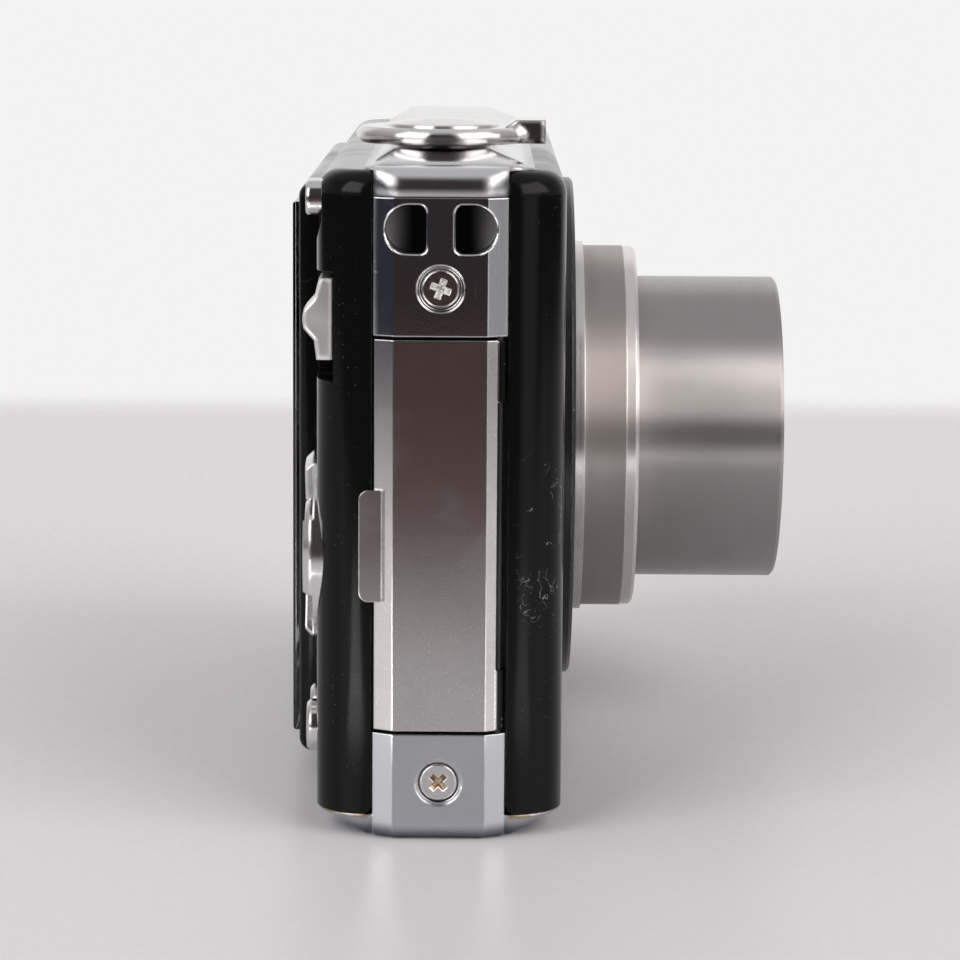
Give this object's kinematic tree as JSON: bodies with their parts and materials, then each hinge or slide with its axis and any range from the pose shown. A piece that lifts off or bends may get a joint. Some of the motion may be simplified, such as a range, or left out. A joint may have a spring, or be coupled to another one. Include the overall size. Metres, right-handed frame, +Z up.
{
  "type": "compact camera",
  "caption": "Slim compact camera with an extended two-stage zoom lens, a strap bracket and a terminal door in its end band, a large rear screen and a tripod socket.",
  "frame": {"origin": "centre of the flat base, on the middle plane of the body's silver end band", "axes": "+X along the body towards the end without terminals, +Y towards the screen so that the lens points along -Y, +Z up"},
  "size_m": [0.0926, 0.0451, 0.0593],
  "materials": {
    "cover_black": "piano gloss",
    "lens_ring_black": "satin gloss",
    "base_silver": "satin",
    "door_silver": "satin",
    "top_silver": "polished",
    "strap_chrome": "polished",
    "ring_chrome": "polished",
    "button_chrome": "polished",
    "outer_barrel_metal": "satin",
    "inner_barrel_metal": "satin",
    "trim_metal": "satin",
    "front_ring_metal": "spun satin",
    "blade_black": "matt",
    "inner_plastic": "matt",
    "lens_glass": "coated",
    "window_clear": "clear",
    "flash_clear": "prismatic",
    "lamp_clear": "clear",
    "screen_panel": "smooth",
    "board_green": "lacquered",
    "sheet_steel": "rolled",
    "screw_steel": "plated",
    "bush_steel": "turned",
    "battery_grey": "matt",
    "card_blue": "matt",
    "capacitor_sleeve": "gloss",
    "speaker_black": "matt",
    "reflector_bright": "polished"
  },
  "bodies": {
    "camera_body": {"bottom_frame": "base_silver", "tripod_bush": "bush_steel", "chassis": "sheet_steel", "main_board": "board_green", "power_board": "board_green", "key_board": "board_green", "top_board": "board_green", "battery_box": "sheet_steel", "battery": "battery_grey", "card_slot": "sheet_steel", "memory_card": "card_blue", "flash_capacitor": "capacitor_sleeve", "speaker": "speaker_black", "terminal_panel": "inner_plastic", "digital_socket": "sheet_steel", "av_socket": "sheet_steel", "image_sensor": "board_green", "lens_base": "inner_plastic", "guide_rods": "sheet_steel", "zoom_motor": "sheet_steel", "front_cover": "cover_black", "lens_ring": "lens_ring_black", "trim_ring": "trim_metal", "flash_window": "flash_clear", "flash_reflector": "reflector_bright", "flash_tube": "flash_clear", "focus_lamp_lens": "lamp_clear", "rear_cover": "cover_black", "screen_module": "screen_panel", "screen_frame": "cover_black", "screen_window": "window_clear", "top_cover": "top_silver", "strap_bracket": "strap_chrome", "end_screws": "screw_steel", "terminal_door_pin": "sheet_steel", "battery_door_pin": "sheet_steel"},
    "outer_barrel": {"outer_barrel": "outer_barrel_metal"},
    "inner_barrel": {"inner_barrel": "inner_barrel_metal", "front_cell": "inner_plastic", "front_lens": "lens_glass", "front_ring": "front_ring_metal"},
    "upper_blade": {"barrier_blade_upper": "blade_black"},
    "lower_blade": {"barrier_blade_lower": "blade_black"},
    "focus_group": {"focus_cell": "inner_plastic", "focus_lens": "lens_glass"},
    "nav_gimbal": {"nav_gimbal": "inner_plastic"},
    "nav_ring": {"nav_ring": "button_chrome"},
    "set_button": {"set_button": "button_chrome"},
    "display_button": {"display_button": "button_chrome"},
    "menu_button": {"menu_button": "button_chrome"},
    "share_button": {"share_button": "button_chrome"},
    "mode_switch": {"mode_switch": "button_chrome"},
    "zoom_ring": {"zoom_ring": "ring_chrome"},
    "shutter_button": {"shutter_button": "ring_chrome"},
    "power_button": {"power_button": "ring_chrome"},
    "terminal_door": {"terminal_door": "door_silver", "terminal_door_carrier": "inner_plastic"},
    "battery_door": {"battery_door": "base_silver"},
    "battery_door_latch": {"battery_door_latch": "base_silver"},
    "battery_hook": {"battery_hook": "sheet_steel"}
  },
  "joints": [
    {"name": "outer_barrel_slide", "type": "slide", "parent": "camera_body", "child": "outer_barrel", "axis": [0, 1, 0], "range_m": [0, 0.0055]},
    {"name": "inner_barrel_slide", "type": "slide", "parent": "outer_barrel", "child": "inner_barrel", "axis": [0, 1, 0], "range_m": [0, 0.0137]},
    {"name": "upper_blade_swing", "type": "hinge", "parent": "inner_barrel", "child": "upper_blade", "pos_m": [-0.0005, -0.03047, 0.0274], "axis": [0, 1, 0], "range_deg": [0, 32], "stiffness_Nm_per_rad": 0.00002, "springref_deg": -34.38},
    {"name": "lower_blade_swing", "type": "hinge", "parent": "inner_barrel", "child": "lower_blade", "pos_m": [0.0205, -0.03047, 0.0274], "axis": [0, 1, 0], "range_deg": [0, 32], "stiffness_Nm_per_rad": 0.00002, "springref_deg": -34.38},
    {"name": "focus_slide", "type": "slide", "parent": "camera_body", "child": "focus_group", "axis": [0, -1, 0], "range_m": [0, 0.004]},
    {"name": "nav_tip_up_down", "type": "hinge", "parent": "camera_body", "child": "nav_gimbal", "pos_m": [-0.0348, 0.00843, 0.0231], "axis": [1, 0, 0], "range_deg": [-1.5, 1.5], "stiffness_Nm_per_rad": 0.02},
    {"name": "nav_tip_sideways", "type": "hinge", "parent": "nav_gimbal", "child": "nav_ring", "pos_m": [-0.0348, 0.00843, 0.0231], "axis": [0, 0, 1], "range_deg": [-1.5, 1.5], "stiffness_Nm_per_rad": 0.02},
    {"name": "set_press", "type": "slide", "parent": "camera_body", "child": "set_button", "axis": [0, -1, 0], "range_m": [0, 0.0004], "stiffness_N_per_m": 120, "springref_m": -0.0005},
    {"name": "display_press", "type": "slide", "parent": "camera_body", "child": "display_button", "axis": [0, -1, 0], "range_m": [0, 0.0004], "stiffness_N_per_m": 120, "springref_m": -0.0005},
    {"name": "menu_press", "type": "slide", "parent": "camera_body", "child": "menu_button", "axis": [0, -1, 0], "range_m": [0, 0.0004], "stiffness_N_per_m": 120, "springref_m": -0.0005},
    {"name": "share_press", "type": "slide", "parent": "camera_body", "child": "share_button", "axis": [0, -1, 0], "range_m": [0, 0.0004], "stiffness_N_per_m": 120, "springref_m": -0.0005},
    {"name": "mode_slide", "type": "slide", "parent": "camera_body", "child": "mode_switch", "axis": [0, 0, 1], "range_m": [-0.0017, 0]},
    {"name": "zoom_turn", "type": "hinge", "parent": "camera_body", "child": "zoom_ring", "pos_m": [-0.033, 0, 0.058], "axis": [0, 0, 1], "range_deg": [-20, 20], "stiffness_Nm_per_rad": 0.002},
    {"name": "shutter_press", "type": "slide", "parent": "camera_body", "child": "shutter_button", "axis": [0, 0, -1], "range_m": [0, 0.0006], "stiffness_N_per_m": 120, "springref_m": -0.0005},
    {"name": "power_press", "type": "slide", "parent": "camera_body", "child": "power_button", "axis": [0, 0, -1], "range_m": [0, 0.0003], "stiffness_N_per_m": 120, "springref_m": -0.0005},
    {"name": "terminal_door_swing", "type": "hinge", "parent": "camera_body", "child": "terminal_door", "pos_m": [-0.04535, -0.00485, 0.0255], "axis": [0, 0, 1], "range_deg": [0, 95]},
    {"name": "battery_door_swing", "type": "hinge", "parent": "camera_body", "child": "battery_door", "pos_m": [-0.009, 0, 0.0012], "axis": [0, -1, 0], "range_deg": [0, 95]},
    {"name": "battery_door_latch_slide", "type": "slide", "parent": "battery_door", "child": "battery_door_latch", "axis": [1, 0, 0], "range_m": [0, 0.002], "stiffness_N_per_m": 120, "springref_m": -0.0005},
    {"name": "battery_hook_slide", "type": "slide", "parent": "camera_body", "child": "battery_hook", "axis": [0, 1, 0], "range_m": [0, 0.0007], "stiffness_N_per_m": 120, "springref_m": -0.0005}
  ],
  "couplings": [
    {"joint": "inner_barrel_slide", "follows": "outer_barrel_slide", "ratio": 2.4909},
    {"joint": "lower_blade_swing", "follows": "upper_blade_swing", "ratio": 1}
  ]
}
